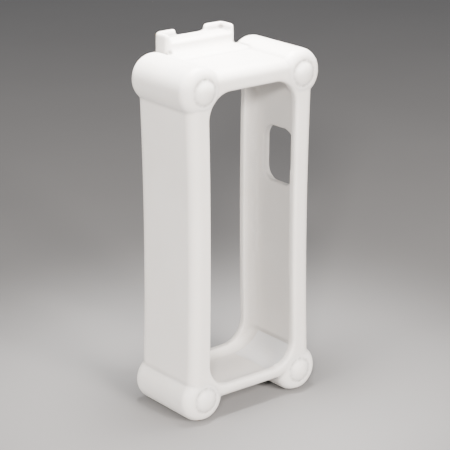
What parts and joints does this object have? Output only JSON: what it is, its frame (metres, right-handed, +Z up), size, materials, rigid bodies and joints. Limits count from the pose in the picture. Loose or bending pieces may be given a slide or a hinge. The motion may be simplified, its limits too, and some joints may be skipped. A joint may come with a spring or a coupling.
{
  "type": "protective bumper boot",
  "caption": "Soft white bumper boot for a handheld dental apex locator: open-fronted sleeve with corner rolls, domed buttons, a side window and a rear hanger.",
  "frame": {"origin": "middle of the footprint, on the ground under the two lower rolls", "axes": "+X to the right seen from the front, +Y to the back (the hanger's side), +Z up"},
  "size_m": [0.0596, 0.0384, 0.1316],
  "materials": {
    "boot": "soft semi-matte silicone",
    "bumper": "soft semi-matte silicone"
  },
  "bodies": {
    "root": {"left_wall": "boot", "right_wall": "boot", "top_wall": "boot", "bottom_wall": "boot", "top_left_roll": "bumper", "top_right_roll": "bumper", "bottom_left_roll": "bumper", "bottom_right_roll": "bumper", "top_left_corner_pad": "boot", "top_right_corner_pad": "boot", "bottom_left_corner_pad": "boot", "bottom_right_corner_pad": "boot", "top_left_front_button": "bumper", "top_right_front_button": "bumper", "bottom_left_front_button": "bumper", "bottom_right_front_button": "bumper", "top_left_rear_button": "bumper", "top_right_rear_button": "bumper", "bottom_left_rear_button": "bumper", "bottom_right_rear_button": "bumper", "hanger": "bumper"}
  },
  "joints": []
}
